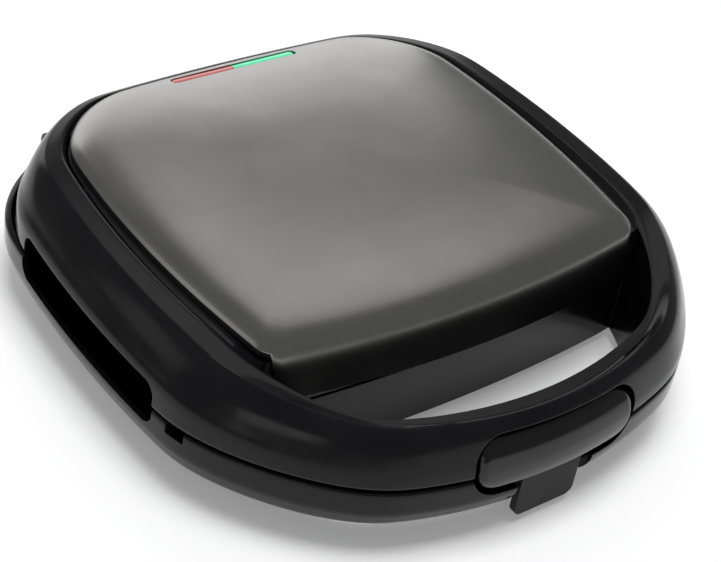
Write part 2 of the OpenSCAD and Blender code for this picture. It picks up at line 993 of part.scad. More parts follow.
module reflector() {
    difference() {
        rounded_block(
            2 * reflector_hw, reflector_d, 8, cook_yc,
            reflector_top - reflector_t, reflector_top + reflector_h
        );
        rounded_block(
            2 * (reflector_hw - reflector_t), reflector_d - 2 * reflector_t, 7.2, cook_yc,
            reflector_top, reflector_top + reflector_h + 1
        );
        at_bosses()
            rod([0, 0, reflector_top - 3], 6, screw_r + 0.2);
        for (x = [-1, 1])
            block(
                [x * tail_x - element_d / 2 - 1, cook_yc, reflector_top],
                [x * tail_x + element_d / 2 + 1, far, reflector_top + 30]
            );
    }
}

loop_x = cook_half_w - 32;
tail_x = 16;
tail_y = cook_y1 + 2;
bend_r = 13;

// Quarter bend of the element tube about a centre, starting at an angle.
module bend(x, y, start) {
    translate([x, y, element_z])
        rotate([0, 0, start])
            rotate_extrude(angle = 90)
                translate([bend_r, 0])
                    circle(element_d / 2, $fn = 32);
}

module tube_x(x0, x1, y) {
    rod([x0, y, element_z], x1 - x0, element_d / 2, "x");
}

module tube_y(x, y0, y1) {
    rod([x, y0, element_z], y1 - y0, element_d / 2, "y");
}

module heating_element() {
    tube_x(-loop_x + bend_r, loop_x - bend_r, loop_y0);
    both_sides() {
        bend(loop_x - bend_r, loop_y0 + bend_r, -90);
        tube_y(loop_x, loop_y0 + bend_r, loop_y1 - bend_r);
        bend(loop_x - bend_r, loop_y1 - bend_r, 0);
        tube_x(tail_x + bend_r, loop_x - bend_r, loop_y1);
        bend(tail_x + bend_r, loop_y1 + bend_r, 180);
        tube_y(tail_x, loop_y1 + bend_r, tail_y);
    }
}

terminal_r = 4.6;
terminal_bore_r = 1.5;
terminal_bore = 6;

module element_terminals() {
    y0 = tail_y + touch;
    y1 = chamber_yr - chamber_wall - seat_gap;
    for (x = [-tail_x, tail_x])
        difference() {
            rod([x, y0, element_z], y1 - y0, terminal_r, "y");
            rod([x, y1 - terminal_bore, element_z], terminal_bore + 1, terminal_bore_r, "y");
        }
}

module element_clips() {
    for (x = [-1, 1], y = [cook_yc - 12, cook_yc + 12])
        difference() {
            block(
                [x * loop_x - 6, y - 3, reflector_top + 0.05],
                [x * loop_x + 6, y + 3, element_z]
            );
            rod([x * loop_x, y - 4, element_z], 8, element_d / 2 + 0.05, "y");
        }
}

module plate_screws() {
    at_bosses() {
        rod([0, 0, reflector_top - reflector_t - 1.6], 1.55, 3.2);
        rod([0, 0, reflector_top - reflector_t - 0.3], 7, screw_r);
    }
}

module lower_cooking_plate() {
    color("#3a3a3b")
        cooking_plate();
}

module upper_cooking_plate() {
    color("#3a3a3b")
        upper_half()
            cooking_plate();
}

module lower_frame() {
    color("#8d8f92")
        frame();
}

module upper_frame() {
    color("#8d8f92")
        upper_half()
            frame();
}

module lower_reflector() {
    color("#c4c6c8")
        reflector();
}

module upper_reflector() {
    color("#c4c6c8")
        upper_half()
            reflector();
}

module lower_heating_element() {
    color("#6b6660")
        heating_element();
}

module upper_heating_element() {
    color("#6b6660")
        upper_half()
            heating_element();
}

module lower_element_clips() {
    color("#aeb0b2")
        element_clips();
}

module upper_element_clips() {
    color("#aeb0b2")
        upper_half()
            element_clips();
}

module lower_element_terminals() {
    color("#ece8dd")
        element_terminals();
}

module upper_element_terminals() {
    color("#ece8dd")
        upper_half()
            element_terminals();
}

module lower_plate_screws() {
    color("#aeb0b2")
        plate_screws();
}

module upper_plate_screws() {
    color("#aeb0b2")
        upper_half()
            plate_screws();
}

module base_screws() {
    color("#aeb0b2")
        at_posts() {
            rod([0, 0, floor_z + seat_gap], screw_head_h, screw_head_r);
            rod([0, 0, floor_z + 1], frame_top - floor_z - 1.1, screw_r);
        }
}

module lid_screws() {
    color("#aeb0b2")
        upper_half()
            at_posts() {
                rod([0, 0, frame_top + touch], screw_head_h, screw_head_r);
                rod(
                    [0, 0, lower_frame_low - lid_screw_reach],
                    lid_screw_reach + frame_t + 0.5, screw_r
                );
            }
}

// ---- electrical parts in the base ------------------------------------------

clamp_y = chamber_yr + 9;
clamp_w = 24;
clamp_d = 8;
clamp_over = 5;
strip_w = 26;
strip_d = 12;
strip_h = 12;
strip_gap = 4;
strip_bore_r = 2.2;

module cord_gland() {
    color("#202022")
        difference() {
            union() {
                rod([gland_x, rear_y - gland_len, gland_z], gland_len + proud, gland_r - touch, "y");
                rod([gland_x, rear_y + touch, gland_z], proud - touch, gland_r + gland_lip, "y");
            }
            rod([gland_x, rear_y - 2 * gland_len, gland_z], 4 * gland_len, cord_r, "y");
        }
}

module terminal_block() {
    low = [gland_x - clamp_w / 2 - strip_gap - strip_w, clamp_y - strip_d / 2, floor_top + touch];
    color("#e3dfd2")
        difference() {
            block(low, low + [strip_w, strip_d, strip_h - touch]);
            for (i = [1, 3, 5])
                rod(
                    low + [i * strip_w / 6, -1, strip_h / 2],
                    strip_d + 2, strip_bore_r, "y"
                );
        }
}

module cable_clamp() {
    color("#34343a")
        difference() {
            block(
                [gland_x - clamp_w / 2, clamp_y - clamp_d / 2, floor_top + touch],
                [gland_x + clamp_w / 2, clamp_y + clamp_d / 2, gland_z + clamp_over]
            );
            rod([gland_x, clamp_y - clamp_d, gland_z], 2 * clamp_d, cord_r, "y");
        }
}

thermostat_r = 8;
fuse_x = 22;
fuse_len = 14;
fuse_r = 2.3;

module thermostat() {
    color("#d8c9a3")
        rod(
            [0, cook_yc, reflector_top + touch],
            cook_low - reflector_top - seat_gap - touch, thermostat_r
        );
}

module thermal_fuse() {
    color("#c9ccce")
        rod([fuse_x, cook_yc, cook_low - fuse_r - seat_gap], fuse_len, fuse_r, "x");
}

// ---- latch -----------------------------------------------------------------

module latch_pad() {
    color("#1e1e20")
        intersection() {
            pad_window(0);
            arc_body(concat(pad_face(), reversed(pad_face(pad_t))));
        }
}

module latch_lever() {
    arm_in0 = pad_t - 0.6;
    arm_in1 = pad_t + 2.6;
    color("#222224")
        difference() {
            union() {
                rod([-tab_w / 2, pivot_y, pivot_z], tab_w, hub_r, "x");
                block(
                    [-tab_w / 2, front_y + arm_in0, pivot_z - 8],
                    [tab_w / 2, pivot_y + 1, pivot_z]
                );
                block(
                    [-tab_w / 2, front_y + arm_in0, nib_low_z],
                    [tab_w / 2, front_y + arm_in1, pivot_z - 2]
                );
                block(
                    [-tab_w / 2 + 3, front_y + arm_in0, nib_low_z],
                    [tab_w / 2 - 3, front_y + base_recess_in - latch_rest_gap, nib_top_z]
                );
            }
            rod([-tab_w, pivot_y, pivot_z], 2 * tab_w, latch_pin_r + pin_clear, "x");
            arc_body(concat(
                [[-20, pad_low_z - 1], [-20, pad_top_z + 10]],
                [[7.6 + pad_t + 0.1, pad_top_z + 10]],
                reversed(pad_face(pad_t + 0.1))
            ));
        }
}

module latch_pin() {
    length = tab_w + 2 * latch_pin_end;
    color("#b8babd")
        rod([-length / 2, pivot_y, pivot_z], length, latch_pin_r, "x");
}

// ---- output ----------------------------------------------------------------

base_housing();
latch_seat();
lower_frame();
lower_reflector();
lower_heating_element();
lower_element_clips();
lower_element_terminals();
lower_cooking_plate();
lower_plate_screws();
rubber_feet();
base_screws();
hinge_pins();
cord_gland();
cable_clamp();
terminal_block();
thermostat();
thermal_fuse();
lid_housing();
lid_plate();
lid_plate_nuts();
upper_frame();
upper_reflector();
upper_heating_element();
upper_element_clips();
upper_element_terminals();
upper_cooking_plate();
upper_plate_screws();
lid_screws();
red_lens();
green_lens();
lamp_holder();
indicator_lamps();
latch_pin();
latch_pad();
latch_lever();
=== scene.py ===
import json
import math

import bmesh
import bpy
import numpy as np
from mathutils import Matrix, Vector
from mathutils.bvhtree import BVHTree


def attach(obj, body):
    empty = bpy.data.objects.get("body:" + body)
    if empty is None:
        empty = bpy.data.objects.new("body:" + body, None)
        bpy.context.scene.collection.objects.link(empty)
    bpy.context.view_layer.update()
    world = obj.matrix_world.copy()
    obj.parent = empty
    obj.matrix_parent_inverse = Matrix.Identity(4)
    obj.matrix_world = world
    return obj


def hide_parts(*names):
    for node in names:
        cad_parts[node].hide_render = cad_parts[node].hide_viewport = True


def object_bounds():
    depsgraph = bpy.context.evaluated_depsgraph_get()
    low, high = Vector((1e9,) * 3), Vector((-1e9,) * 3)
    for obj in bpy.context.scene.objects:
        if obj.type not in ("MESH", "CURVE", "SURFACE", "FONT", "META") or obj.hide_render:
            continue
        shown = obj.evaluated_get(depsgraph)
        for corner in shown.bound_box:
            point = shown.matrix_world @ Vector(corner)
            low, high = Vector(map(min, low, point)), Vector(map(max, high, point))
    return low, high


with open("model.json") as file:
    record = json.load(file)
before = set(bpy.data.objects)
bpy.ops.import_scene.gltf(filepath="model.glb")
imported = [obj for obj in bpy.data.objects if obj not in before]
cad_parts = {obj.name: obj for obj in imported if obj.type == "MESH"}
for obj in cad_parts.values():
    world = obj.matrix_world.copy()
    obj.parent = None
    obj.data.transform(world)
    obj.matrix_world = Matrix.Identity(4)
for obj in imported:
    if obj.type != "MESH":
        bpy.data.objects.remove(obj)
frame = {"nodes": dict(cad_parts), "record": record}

CAD_BOX = [list(c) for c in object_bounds()]
MM = 0.001

# ---- sizes in millimetres, the same as the solids' ---------------------------

low, high = (np.array(c) / MM for c in CAD_BOX)
PROUD = 1.2
HALF_W = high[0]
FRONT_Y = low[1] + PROUD
REAR_Y = high[1] - PROUD
PARTING_Z = 33.5
LID_Z = PARTING_Z + 1.4
LIP_Z = LID_Z + 5
WALL = 2.6
FRONT_R, REAR_R = 53, 51
SIDE_BOW, FRONT_BOW, REAR_BOW = 11, 36, 5
SIDE_CREASE_Z, FRONT_CREASE_Z = 64, 57
SIDE_CREASE_IN, FRONT_CREASE_IN = 14, 8
LID_REAR_Y = REAR_Y - 10
LOOP_W, LOOP_SIDE_W = 17.5, 29
HAND_R, HAND_BOW = 40, 31
LOOP_BOTTOM_Z = 9.5
CHAMBER_HALF_W = HALF_W - 15
CHAMBER_YF = FRONT_Y + 75
CHAMBER_YR = REAR_Y - 32.6
CHAMBER_BOW, CHAMBER_WALL, CHAMBER_R = 8, 2.2, 18
DOME_Z, PLATE_EDGE_Z, APRON_Z = 76, 64.5, 46
PLATE_HALF_W = HALF_W - 28.5
PLATE_YF = CHAMBER_YF - 5.5
PLATE_YR = LID_REAR_Y - 7
PLATE_BOW, PLATE_SIDE_BOW, PLATE_REAR_BOW = 9, 8, 4
APRON_LEAN = 5
SHEET_T = 1
DECK_Z = PLATE_EDGE_Z - 2.6
DECK_LOW = DECK_Z - WALL
WINDOW_Y0 = FRONT_Y + 92
WINDOW_Y1 = WINDOW_Y0 + 104
WINDOW_TOP_Z = LID_Z + 10.5
WINDOW_LOW_Z = PARTING_Z - 8.5
WINDOW_R = 6
WINDOW_X = CHAMBER_HALF_W + 1.5
NOTCH_Y1 = WINDOW_Y0 - 8
NOTCH_W, NOTCH_H = 9, 4.5
KNUCKLE_R, KNUCKLE_W, HINGE_X = 6, 16, 70
HINGE_Y, HINGE_Z = REAR_Y - KNUCKLE_R, PARTING_Z + 3
CHEEK_T, CHEEK_GAP = 5, 0.6
HINGE_BORE_R = 2.05
FLOOR_Z = 5
PAD_W, PAD_H, PAD_T = 76, 24, 3.6
PAD_TOP_Z = PARTING_Z + 17
PAD_LOW_Z = PAD_TOP_Z - PAD_H
PAD_R = PAD_H / 2 - 2
PAD_CLEAR = 2
TAB_W = 26
TAB_SHOWN_W = 30
TAB_GAP = 0.6
LATCH_PIN_R = 1.5
PIVOT_Y, PIVOT_Z = FRONT_Y + 9, PAD_TOP_Z - 4.4
RECESS_IN = 12.7
NIB_LOW_Z = FLOOR_Z - 0.4
ARC_R = (HALF_W - SIDE_BOW) ** 2 / (2 * FRONT_BOW)
FAR = 400

# ---- plan outlines -----------------------------------------------------------

FRONT_STEPS, CORNER_STEPS, SIDE_STEPS = 24, 36, 30


def outline(hw, yf, yr, rf, rr, bs=0, bf=0, br=0, soft=2.0):
    """Closed plan outline with round corners and bowed sides, softened where arcs meet straights."""
    hw, yf, yr = hw - bs, yf + bf, yr - br
    a = np.linspace(0, math.pi / 2, CORNER_STEPS + 1)
    half = np.vstack([
        np.c_[(hw - rf) * np.linspace(0, 1, FRONT_STEPS, endpoint=False), np.full(FRONT_STEPS, yf)],
        np.c_[hw - rf + rf * np.sin(a), yf + rf - rf * np.cos(a)],
        np.c_[np.full(SIDE_STEPS - 1, hw), np.linspace(yf + rf, yr - rr, SIDE_STEPS + 1)[1:-1]],
        np.c_[hw - rr + rr * np.cos(a), yr - rr + rr * np.sin(a)],
        np.c_[(hw - rr) * np.linspace(1, 0, FRONT_STEPS + 1)[1:], np.full(FRONT_STEPS, yr)],
    ])
    v = (half[:, 1] - (yf + yr) / 2) / ((yr - yf) / 2)
    lift = 1 - (half[:, 0] / hw) ** 2
    x = half[:, 0] + bs * (half[:, 0] / hw) * (1 - v * v)
    y = half[:, 1] + np.where(v < 0, v * bf * lift, v * br * lift)
    half = np.c_[x, y]
    ring = np.vstack([half, np.c_[-half[-2:0:-1, 0], half[-2:0:-1, 1]]])
    if soft:
        n = len(ring)
        k = np.minimum(np.arange(n), n - np.arange(n))
        kernel = np.exp(-0.5 * (k / soft) ** 2)
        kernel /= kernel.sum()
        ring = np.real(np.fft.ifft(np.fft.fft(ring, axis=0) * np.fft.fft(kernel)[:, None], axis=0))
    return ring


def skirt(side=0, front=0, rear=0, back=None):
    back = REAR_Y if back is None else back
    return outline(HALF_W - side, FRONT_Y + front, back - rear, FRONT_R - (side + front) / 2,
                   max(8, REAR_R - (side + rear) / 2), SIDE_BOW, FRONT_BOW, REAR_BOW)


def chamber(d=0):
    return outline(CHAMBER_HALF_W - d, CHAMBER_YF - CHAMBER_BOW + d, CHAMBER_YR - d,
                   CHAMBER_R - d, CHAMBER_R - d, 0, CHAMBER_BOW, 0, soft=1.0)


def hand_edge(d=0):
    return outline(HALF_W - LOOP_SIDE_W - d, FRONT_Y + LOOP_W + d, CHAMBER_YR,
                   HAND_R - d, 20, 0, HAND_BOW, 0)


def rearward(y):
    t = np.clip((y - FRONT_Y - 20) / 80, 0, 1)
    return t * t * (3 - 2 * t)


def sloped(ring, z_front, z_rear):
    return np.c_[ring, z_front + (z_rear - z_front) * rearward(ring[:, 1])]


def flat(ring, z):
    return np.c_[ring, np.full(len(ring), float(z))]


def smooth_steps(keys, per_step):
    """Rows between key rows along a monotone cubic, so that no overshoot bulges the surface."""
    keys = np.array(keys, float)
    n = len(keys)
    t = np.r_[0, np.cumsum(np.maximum(np.linalg.norm(np.diff(keys, axis=0), axis=1), 1e-3))]
    h = np.diff(t)[:, None]
    d = np.diff(keys, axis=0) / h
    m = np.zeros_like(keys)
    m[0], m[-1] = d[0], d[-1]
    for i in range(1, n - 1):
        w1, w2 = 2 * h[i, 0] + h[i - 1, 0], h[i, 0] + 2 * h[i - 1, 0]
        same = d[i - 1] * d[i] > 0
        safe = np.where(same, w1 / np.where(same, d[i - 1], 1) + w2 / np.where(same, d[i], 1), 1)
        m[i] = np.where(same, (w1 + w2) / safe, 0)
    rows = []
    for i in range(n - 1):
        for s in np.linspace(0, 1, per_step, endpoint=False):
            a, b = (1 + 2 * s) * (1 - s) ** 2, s * (1 - s) ** 2
            c, e = s * s * (3 - 2 * s), s * s * (s - 1)
            rows.append(a * keys[i] + b * h[i, 0] * m[i] + c * keys[i + 1] + e * h[i, 0] * m[i + 1])
    rows.append(keys[-1])
    return rows


# ---- mesh building -----------------------------------------------------------

def mesh_object(name, points, faces):
    me = bpy.data.meshes.new(name)
    me.from_pydata((np.asarray(points) * MM).tolist(), [], faces)
    me.validate()
    me.update()
    obj = bpy.data.objects.new(name, me)
    bpy.context.scene.collection.objects.link(obj)
    return obj


def loft(name, rings, closed=True):
    """Mesh through rings of equal length, capped at both ends."""
    n, m = len(rings[0]), len(rings)
    faces = [(j * n + i, j * n + (i + 1) % n, (j + 1) * n + (i + 1) % n, (j + 1) * n + i)
             for j in range(m - 1) for i in range(n)]
    if closed:
        faces += [tuple(range(n - 1, -1, -1)), tuple((m - 1) * n + i for i in range(n))]
    return mesh_object(name, np.vstack(rings), faces)


def slab(name, ring, z0, z1):
    return loft(name, [flat(ring, z0), flat(ring, z1)])


def box(name, a, b):
    (x0, y0, z0), (x1, y1, z1) = a, b
    ring = np.array([[x0, y0], [x1, y0], [x1, y1], [x0, y1]], float)
    return slab(name, ring, z0, z1)


def circle(r, n=48):
    a = np.arange(n) * 2 * math.pi / n
    return np.c_[r * np.cos(a), r * np.sin(a)]


TURNS = {
    "x": Matrix(((0, 0, 1), (1, 0, 0), (0, 1, 0))),
    "y": Matrix(((1, 0, 0), (0, 0, 1), (0, -1, 0))),
    "z": Matrix.Identity(3),
}


def place(obj, p, axis="z"):
    obj.data.transform(Matrix.Translation(Vector(p) * MM) @ TURNS[axis].to_4x4())
    return obj


def rod(name, p, length, r, axis="z", n=48):
    return place(slab(name, circle(r, n), 0, length), p, axis)


def rounded_rect(w, h, r, n=16):
    parts = []
    for k, (sx, sy) in enumerate([(1, -1), (1, 1), (-1, 1), (-1, -1)]):
        a = np.linspace(-90 + 90 * k, 90 * k, n + 1) * math.pi / 180
        parts.append(np.c_[sx * (w / 2 - r) + r * np.cos(a), sy * (h / 2 - r) + r * np.sin(a)])
    return np.vstack(parts)


def boolean(obj, tools, operation="DIFFERENCE", solver="MANIFOLD"):
    for tool in tools if isinstance(tools, list) else [tools]:
        m = obj.modifiers.new("cut", "BOOLEAN")
        m.operation, m.solver, m.object = operation, solver, tool
        shaped = bpy.data.meshes.new_from_object(obj.evaluated_get(bpy.context.evaluated_depsgraph_get()))
        obj.modifiers.clear()
        obj.data = shaped
        bpy.data.objects.remove(tool)
    return obj


def both(make):
    """The piece that make(side) gives, once for each side."""
    return [make(-1), make(1)]


def copy_of(obj):
    twin = obj.copy()
    twin.data = obj.data.copy()
    return twin


def normals_from(obj, source, reach=0.05, angle=35):
    """Gives faces that still lie on the uncut form its even normals."""
    source.data.shade_smooth()
    me, form = obj.data, source.data
    tree = BVHTree.FromPolygons([v.co for v in form.vertices], [p.vertices for p in form.polygons])
    normals = np.array([n.vector for n in form.corner_normals])
    least = math.cos(math.radians(angle))
    found = {}
    for v in me.vertices:
        spot, _, face, gap = tree.find_nearest(v.co)
        if gap < reach * MM:
            poly = form.polygons[face]
            corners = [form.vertices[i].co for i in poly.vertices]
            weight = np.array([1 / ((c - spot).length + 1e-7) for c in corners])
            n = (normals[poly.loop_start:poly.loop_start + poly.loop_total] * weight[:, None]).sum(0)
            found[v.index] = Vector(n).normalized()
    own = [n.vector.copy() for n in me.corner_normals]
    for poly in me.polygons:
        for corner in poly.loop_indices:
            n = found.get(me.loops[corner].vertex_index)
            if n is not None and n.dot(poly.normal) > least:
                own[corner] = n
    me.normals_split_custom_set(own)
    bpy.data.meshes.remove(form)
    return obj


def finish_mesh(obj, angle=32, bevel=0.0):
    """Smooth shading with sharp edges kept, and a small rounding where one is asked for."""
    me = obj.data
    me.shade_smooth()
    me.set_sharp_from_angle(angle=math.radians(angle))
    if bevel:
        b = obj.modifiers.new("edge", "BEVEL")
        b.width, b.segments = bevel * MM, 2
        b.limit_method, b.angle_limit = "ANGLE", math.radians(angle)
        b.use_clamp_overlap = True
        b.harden_normals = True
    return obj


# ---- camera ------------------------------------------------------------------

CAM_AZ, CAM_EL, CAM_ROLL = -41.33, 37.92, 9.82
CAM_F = 1773.4
CAM_AT = (-395.07, -449.53, 489.11)


def camera():
    a, e, r = (math.radians(v) for v in (CAM_AZ, CAM_EL, CAM_ROLL))
    right = Vector((math.cos(a), math.sin(a), 0))
    back = Vector((math.sin(a) * math.cos(e), -math.cos(a) * math.cos(e), math.sin(e)))
    up = back.cross(right)
    x = right * math.cos(r) + up * math.sin(r)
    y = up * math.cos(r) - right * math.sin(r)
    data = bpy.data.cameras.new("camera")
    data.lens = CAM_F / 721 * data.sensor_width
    data.clip_end = 20
    cam = bpy.data.objects.new("camera", data)
    cam.matrix_world = Matrix((
        (x.x, y.x, back.x, CAM_AT[0] * MM), (x.y, y.y, back.y, CAM_AT[1] * MM),
        (x.z, y.z, back.z, CAM_AT[2] * MM), (0, 0, 0, 1)))
    bpy.context.scene.collection.objects.link(cam)
    bpy.context.scene.camera = cam


camera()

# ---- materials ---------------------------------------------------------------


class Shader:
    """A procedural material built on one Principled node."""

    def __init__(self, name, **values):
        self.mat = bpy.data.materials.new(name)
        self.mat.use_nodes = True
        self.tree = self.mat.node_tree
        self.p = self.tree.nodes["Principled BSDF"]
        for key, value in values.items():
            self.p.inputs[key.replace("_", " ")].default_value = value
        self.coords = self.tree.nodes.new("ShaderNodeTexCoord")

    def noise(self, scale, detail=3.0, stretch=(1, 1, 1)):
        mapping = self.tree.nodes.new("ShaderNodeMapping")
        mapping.inputs["Scale"].default_value = stretch
        self.tree.links.new(self.coords.outputs["Object"], mapping.inputs["Vector"])
        node = self.tree.nodes.new("ShaderNodeTexNoise")
        node.inputs["Scale"].default_value = scale
        node.inputs["Detail"].default_value = detail
        self.tree.links.new(mapping.outputs["Vector"], node.inputs["Vector"])
        return node.outputs["Fac"]

    def spread(self, value, low, high, a=0.3, b=0.7):
        node = self.tree.nodes.new("ShaderNodeMapRange")
        for key, v in (("From Min", a), ("From Max", b), ("To Min", low), ("To Max", high)):
            node.inputs[key].default_value = v
        self.tree.links.new(value, node.inputs["Value"])
        return node.outputs["Result"]

    def roughness(self, value, low, high):
        self.tree.links.new(self.spread(value, low, high), self.p.inputs["Roughness"])
        return self

    def colour(self, value, a, b, start=0.35, end=0.65):
        ramp = self.tree.nodes.new("ShaderNodeValToRGB")
        ramp.color_ramp.elements[0].position, ramp.color_ramp.elements[0].color = start, (*a, 1)
        ramp.color_ramp.elements[1].position, ramp.color_ramp.elements[1].color = end, (*b, 1)
        self.tree.links.new(value, ramp.inputs["Fac"])
        self.tree.links.new(ramp.outputs["Color"], self.p.inputs["Base Color"])
        return self

    def bump(self, value, strength, distance, rounding=0.0):
        """Fine relief on a normal that is also rounded over the edges."""
        node = self.tree.nodes.new("ShaderNodeBump")
        if rounding:
            edge = self.tree.nodes.new("ShaderNodeBevel")
            edge.inputs["Radius"].default_value = rounding * MM
            self.tree.links.new(edge.outputs["Normal"], node.inputs["Normal"])
        node.inputs["Strength"].default_value = strength
        node.inputs["Distance"].default_value = distance * MM
        self.tree.links.new(value, node.inputs["Height"])
        self.tree.links.new(node.outputs["Normal"], self.p.inputs["Normal"])
        return self


def moulded(name, base, lighter, rough, grain=2600, depth=0.004, shine=0.22):
    s = Shader(name, Specular_IOR_Level=shine)
    s.roughness(s.noise(90, 4), rough - 0.03, rough + 0.04)
    s.colour(s.noise(40, 2), base, lighter)
    return s.bump(s.noise(grain, 2), 0.25, depth, 0.55).mat


def metal(name, base, lighter, rough, stretch=(1, 1, 1), metallic=1.0):
    s = Shader(name, Metallic=metallic)
    s.roughness(s.noise(160, 4, stretch), rough - 0.06, rough + 0.08)
    s.colour(s.noise(60, 3, stretch), base, lighter)
    return s.bump(s.noise(900, 2, stretch), 0.15, 0.004).mat


def lid_metal():
    s = Shader("lid_metal", Metallic=1.0)
    s.roughness(s.noise(30, 3), 0.27, 0.30)
    s.colour(s.noise(45, 2), (0.300, 0.296, 0.290), (0.318, 0.314, 0.308))
    return s.bump(s.noise(220, 2), 0.05, 0.002).mat


def lens_material(name, base, glow, strength):
    s = Shader(name, Roughness=0.12, IOR=1.49, Coat_Weight=0.6, Coat_Roughness=0.05)
    s.colour(s.noise(120, 3), base, tuple(min(1, c * 1.12) for c in base))
    s.p.inputs["Emission Color"].default_value = (*glow, 1)
    s.p.inputs["Emission Strength"].default_value = strength
    return s.mat


MATERIALS = {
    "black_housing": moulded("black_housing", (0.005, 0.005, 0.006), (0.007, 0.007, 0.008), 0.17),
    "lid_metal": lid_metal(),
    "black_pad": moulded("black_pad", (0.005, 0.005, 0.006), (0.007, 0.007, 0.008), 0.14, shine=0.4),
    "matt_black": moulded("matt_black", (0.012, 0.012, 0.012), (0.018, 0.018, 0.018), 0.55, depth=0.01),
    "red_lens": lens_material("red_lens", (0.42, 0.10, 0.09), (0.6, 0.10, 0.08), 0.12),
    "green_lens": lens_material("green_lens", (0.06, 0.55, 0.28), (0.05, 0.8, 0.35), 0.25),
    "nonstick": moulded("nonstick", (0.020, 0.020, 0.021), (0.030, 0.030, 0.031), 0.42,
                        grain=1500, depth=0.012),
    "steel": metal("steel", (0.46, 0.46, 0.47), (0.60, 0.60, 0.61), 0.32),
    "aluminium_sheet": metal("aluminium_sheet", (0.62, 0.62, 0.63), (0.74, 0.74, 0.75), 0.34, (1, 12, 1)),
    "element_steel": metal("element_steel", (0.16, 0.14, 0.13), (0.26, 0.24, 0.22), 0.45, metallic=0.9),
    "ceramic": moulded("ceramic", (0.78, 0.75, 0.67), (0.86, 0.83, 0.75), 0.6, grain=900, depth=0.02),
    "rubber": moulded("rubber", (0.020, 0.020, 0.020), (0.032, 0.032, 0.032), 0.75,
                      grain=1400, depth=0.02),
    "white_nylon": moulded("white_nylon", (0.72, 0.70, 0.64), (0.80, 0.78, 0.72), 0.5,
                           grain=1200, depth=0.01),
    "lamp_glass": lens_material("lamp_glass", (0.7, 0.55, 0.42), (1.0, 0.4, 0.2), 0.2),
}


def dress(obj, slot, body, *nodes):
    obj.data.materials.clear()
    obj.data.materials.append(MATERIALS[slot])
    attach(obj, body)
    if nodes:
        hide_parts(*nodes)
    return obj


# ---- lid housing -------------------------------------------------------------

def lid_keys(d):
    s, f = SIDE_CREASE_IN, FRONT_CREASE_IN
    fz, sz = FRONT_CREASE_Z, SIDE_CREASE_Z
    return [
        [0.6, 0.3, 0.3, LIP_Z - 0.2 * d, LIP_Z + 6 - 0.4 * d],
        [0.26 * s, 0.22 * f, 0.8, LIP_Z + 6.4 - 0.6 * d, LIP_Z + 12 - 0.8 * d],
        [0.58 * s, 0.56 * f, 1.4, fz - 3.4 - 0.8 * d, sz - 5.4 - d],
        [0.88 * s, 0.86 * f, 2.6, fz - 0.7 - d, sz - 1.2 - d],
        [s, f, 3.4, fz - d, sz - d],
        [s + 8, f + 3.4, 5, fz - 3.4 - d, sz + 0.6 - d],
        [s + 11, f + 12, 6, fz - 3.4 - d, DECK_Z - d],
    ]


def lid_form(name, d, bottom_z, top_z, per_step=7):
    keys = [[0, 0, 0, LID_Z + 1.6, LID_Z + 1.6]] + lid_keys(d)
    rows = smooth_steps(keys[:6], per_step)[:-1] + smooth_steps(keys[5:], per_step)
    edge = [[0.9, 0.9, 0.9, LID_Z + 0.1], [0.45, 0.45, 0.45, LID_Z + 0.45], [0.12, 0.12, 0.12, LID_Z + 1.0]]
    rings = [flat(skirt(1.3 + d, 1.3 + d, 1.3 + d, LID_REAR_Y), bottom_z)]
    if not d:
        rings += [flat(skirt(p[0], p[1], p[2], LID_REAR_Y), p[3]) for p in edge]
    rings += [sloped(skirt(p[0] + d, p[1] + d, p[2] + d, LID_REAR_Y), p[3], p[4]) for p in rows]
    s, f = SIDE_CREASE_IN, FRONT_CREASE_IN
    rings.append(flat(skirt(s + 26 + d, f + 40 + d, 40 + d, LID_REAR_Y), top_z))
    return loft(name, rings)


def hand_cutter(name, z0, z1, grow=0.0, back=0.0, flare=0.0):
    rings = [flat(hand_edge(-grow), z0)]
    if flare:
        z_front, z_rear = FRONT_CREASE_Z - 3.4, DECK_Z
        for q in np.linspace(0, 90, 7):
            out = flare * (1 - math.cos(math.radians(q)))
            dz = flare * (math.sin(math.radians(q)) - 1)
            rings.append(sloped(hand_edge(-grow - out), z_front + dz, z_rear + dz))
        rings.append(flat(hand_edge(-grow - flare), z1))
    else:
        rings.append(flat(hand_edge(-grow), z1))
    cutter = loft(name, rings)
    return boolean(cutter, [
        slab("c", chamber(back), z0 - 1, z1 + 1),
        box("b", (-FAR, CHAMBER_YF + 4 + grow, z0 - 2), (FAR, FAR, z1 + 2)),
    ])


def latch_backing(z0, z1):
    return box("backing", (-PAD_W / 2 - 4, FRONT_Y - 10, z0), (PAD_W / 2 + 4, FRONT_Y + 40, z1))


def chamber_band(z0, z1):
    return boolean(slab("band", chamber(0), z0, z1), slab("hole", chamber(CHAMBER_WALL), z0 - 1, z1 + 1))


def window_cutter(side, z0, z1):
    """Prism through one side with round upper corners; z1 below z0 turns it upside down."""
    up = 1 if z1 > z0 else -1
    q = np.linspace(0, math.pi / 2, 13)
    right = np.c_[WINDOW_Y1 - WINDOW_R + WINDOW_R * np.cos(q), z1 + up * WINDOW_R * (np.sin(q) - 1)]
    left = np.c_[WINDOW_Y0 + WINDOW_R - WINDOW_R * np.sin(q), z1 + up * WINDOW_R * (np.cos(q) - 1)]
    ring = np.vstack([[[WINDOW_Y0, z0], [WINDOW_Y1, z0]], right, left])
    if up < 0:
        ring = ring[::-1]
    return place(slab("window", ring, 0, FAR), (WINDOW_X if side > 0 else -WINDOW_X - FAR, 0, 0), "x")


def pad_window(grow):
    ring = rounded_rect(PAD_W + 2 * grow, PAD_H + 2 * grow, PAD_R + grow)
    ring = ring * [1, -1]
    return place(slab("pw", ring[::-1], 0, 120), (0, FRONT_Y - 60, (PAD_TOP_Z + PAD_LOW_Z) / 2), "y")


